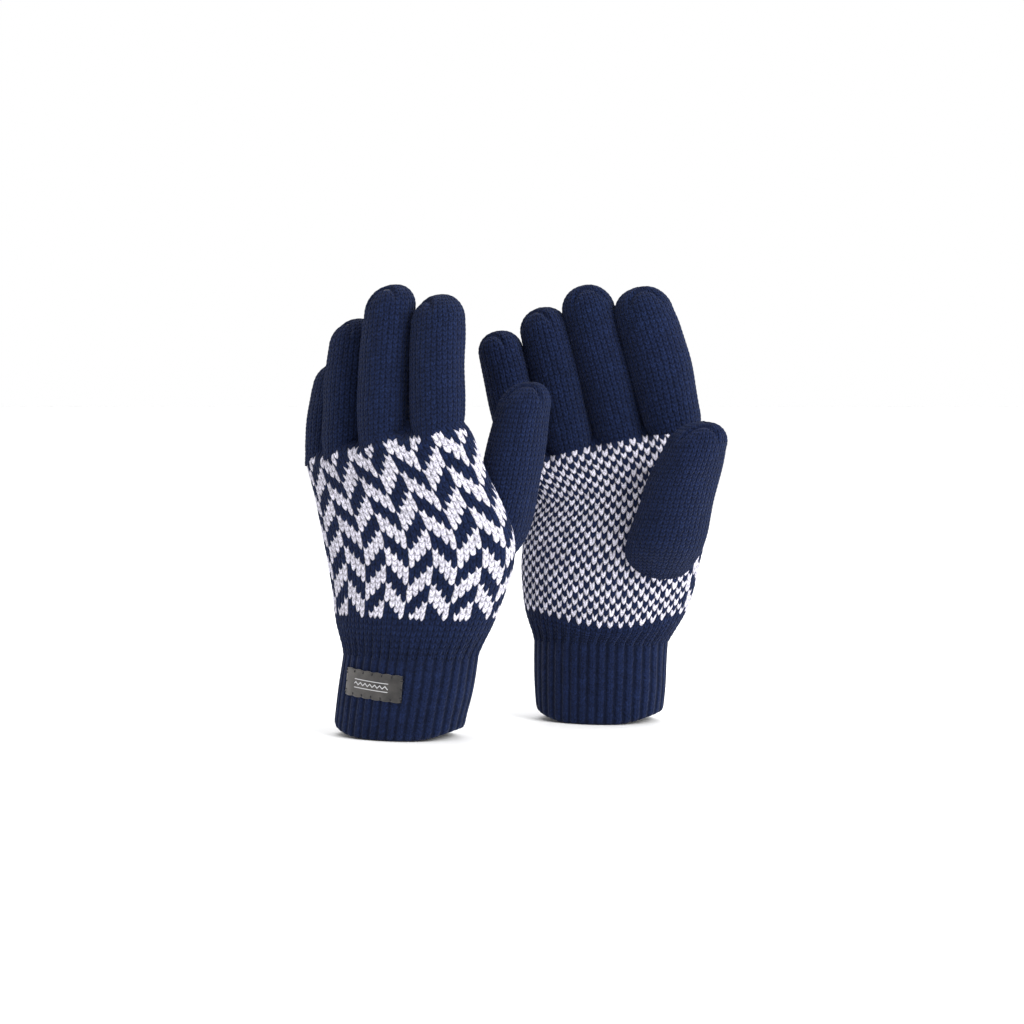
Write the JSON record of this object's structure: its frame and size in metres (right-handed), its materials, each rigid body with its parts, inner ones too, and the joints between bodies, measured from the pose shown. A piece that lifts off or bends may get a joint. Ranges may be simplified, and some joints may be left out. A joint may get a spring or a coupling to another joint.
{
  "type": "pair of knitted gloves",
  "caption": "Pair of thick lined knitted gloves in navy with a white chevron back, dotted palm, plain stalls and ribbed cuffs, standing as if filled by hands.",
  "frame": {"origin": "centre of the pair's footprint, on the plane the two cuff hems stand on", "axes": "+Z from the hems towards the fingertips, +X from the left glove towards the right one, +Y away from the side that shows the left glove's back"},
  "size_m": [0.2461, 0.1324, 0.2623],
  "materials": {
    "patterned_knit": "two-colour knit, matt and slightly fuzzy",
    "navy_knit": "plain and ribbed knit, matt and slightly fuzzy",
    "fleece_lining": "brushed fleece",
    "sewing_thread": "thread",
    "woven_label": "satin weave"
  },
  "bodies": {
    "left_hand": {"left_hand_knit": "patterned_knit", "left_ribbed_cuff": "navy_knit", "left_hand_lining": "fleece_lining", "left_hem_seam_thread": "sewing_thread", "left_woven_label": "woven_label", "left_label_tacking": "sewing_thread"},
    "left_index": {"left_index_stall": "navy_knit", "left_index_lining": "fleece_lining", "left_index_tip_tie": "navy_knit"},
    "left_middle": {"left_middle_stall": "navy_knit", "left_middle_lining": "fleece_lining", "left_middle_tip_tie": "navy_knit"},
    "left_ring": {"left_ring_stall": "navy_knit", "left_ring_lining": "fleece_lining", "left_ring_tip_tie": "navy_knit"},
    "left_little": {"left_little_stall": "navy_knit", "left_little_lining": "fleece_lining", "left_little_tip_tie": "navy_knit"},
    "left_thumb": {"left_thumb_stall": "navy_knit", "left_thumb_lining": "fleece_lining", "left_thumb_tip_tie": "navy_knit"},
    "right_hand": {"right_hand_knit": "patterned_knit", "right_ribbed_cuff": "navy_knit", "right_hand_lining": "fleece_lining", "right_hem_seam_thread": "sewing_thread", "right_woven_label": "woven_label", "right_label_tacking": "sewing_thread"},
    "right_index": {"right_index_stall": "navy_knit", "right_index_lining": "fleece_lining", "right_index_tip_tie": "navy_knit"},
    "right_middle": {"right_middle_stall": "navy_knit", "right_middle_lining": "fleece_lining", "right_middle_tip_tie": "navy_knit"},
    "right_ring": {"right_ring_stall": "navy_knit", "right_ring_lining": "fleece_lining", "right_ring_tip_tie": "navy_knit"},
    "right_little": {"right_little_stall": "navy_knit", "right_little_lining": "fleece_lining", "right_little_tip_tie": "navy_knit"},
    "right_thumb": {"right_thumb_stall": "navy_knit", "right_thumb_lining": "fleece_lining", "right_thumb_tip_tie": "navy_knit"}
  },
  "joints": [
    {"name": "left_index_root", "type": "hinge", "parent": "left_hand", "child": "left_index", "pos_m": [-0.03391, -0.02835, 0.18099], "axis": [-0.7477, 0.6386, -0.1822], "range_deg": [0, 45], "stiffness_Nm_per_rad": 0.05},
    {"name": "left_middle_root", "type": "hinge", "parent": "left_hand", "child": "left_middle", "pos_m": [-0.06558, -0.01713, 0.17517], "axis": [-0.7477, 0.6386, -0.1822], "range_deg": [0, 45], "stiffness_Nm_per_rad": 0.05},
    {"name": "left_ring_root", "type": "hinge", "parent": "left_hand", "child": "left_ring", "pos_m": [-0.08846, 0.00337, 0.16948], "axis": [-0.7477, 0.6386, -0.1822], "range_deg": [0, 60], "stiffness_Nm_per_rad": 0.05},
    {"name": "left_little_root", "type": "hinge", "parent": "left_hand", "child": "left_little", "pos_m": [-0.10302, 0.0273, 0.16455], "axis": [-0.7477, 0.6386, -0.1822], "range_deg": [0, 50], "stiffness_Nm_per_rad": 0.05},
    {"name": "left_thumb_root", "type": "hinge", "parent": "left_hand", "child": "left_thumb", "pos_m": [0.00392, -0.03559, 0.092], "axis": [0.342, 0.9397, 0], "range_deg": [0, 35], "stiffness_Nm_per_rad": 0.05},
    {"name": "right_index_root", "type": "hinge", "parent": "right_hand", "child": "right_index", "pos_m": [0.09173, 0.01126, 0.17742], "axis": [0.9491, -0.2366, 0.2079], "range_deg": [0, 60], "stiffness_Nm_per_rad": 0.05},
    {"name": "right_middle_root", "type": "hinge", "parent": "right_hand", "child": "right_middle", "pos_m": [0.06075, 0.0193, 0.17062], "axis": [0.9491, -0.2366, 0.2079], "range_deg": [0, 60], "stiffness_Nm_per_rad": 0.05},
    {"name": "right_ring_root", "type": "hinge", "parent": "right_hand", "child": "right_ring", "pos_m": [0.03082, 0.02325, 0.16425], "axis": [0.9491, -0.2366, 0.2079], "range_deg": [0, 40], "stiffness_Nm_per_rad": 0.05},
    {"name": "right_little_root", "type": "hinge", "parent": "right_hand", "child": "right_little", "pos_m": [0.00283, 0.02467, 0.1584], "axis": [0.9491, -0.2366, 0.2079], "range_deg": [0, 42], "stiffness_Nm_per_rad": 0.05},
    {"name": "right_thumb_root", "type": "hinge", "parent": "right_hand", "child": "right_thumb", "pos_m": [0.11163, 0.00094, 0.087], "axis": [0.2419, 0.9703, 0], "range_deg": [0, 35], "stiffness_Nm_per_rad": 0.05},
    {"name": "pair_apart", "type": "slide", "parent": "left_hand", "child": "right_hand", "axis": [1, 0, 0], "range_m": [0, 0.15]}
  ]
}
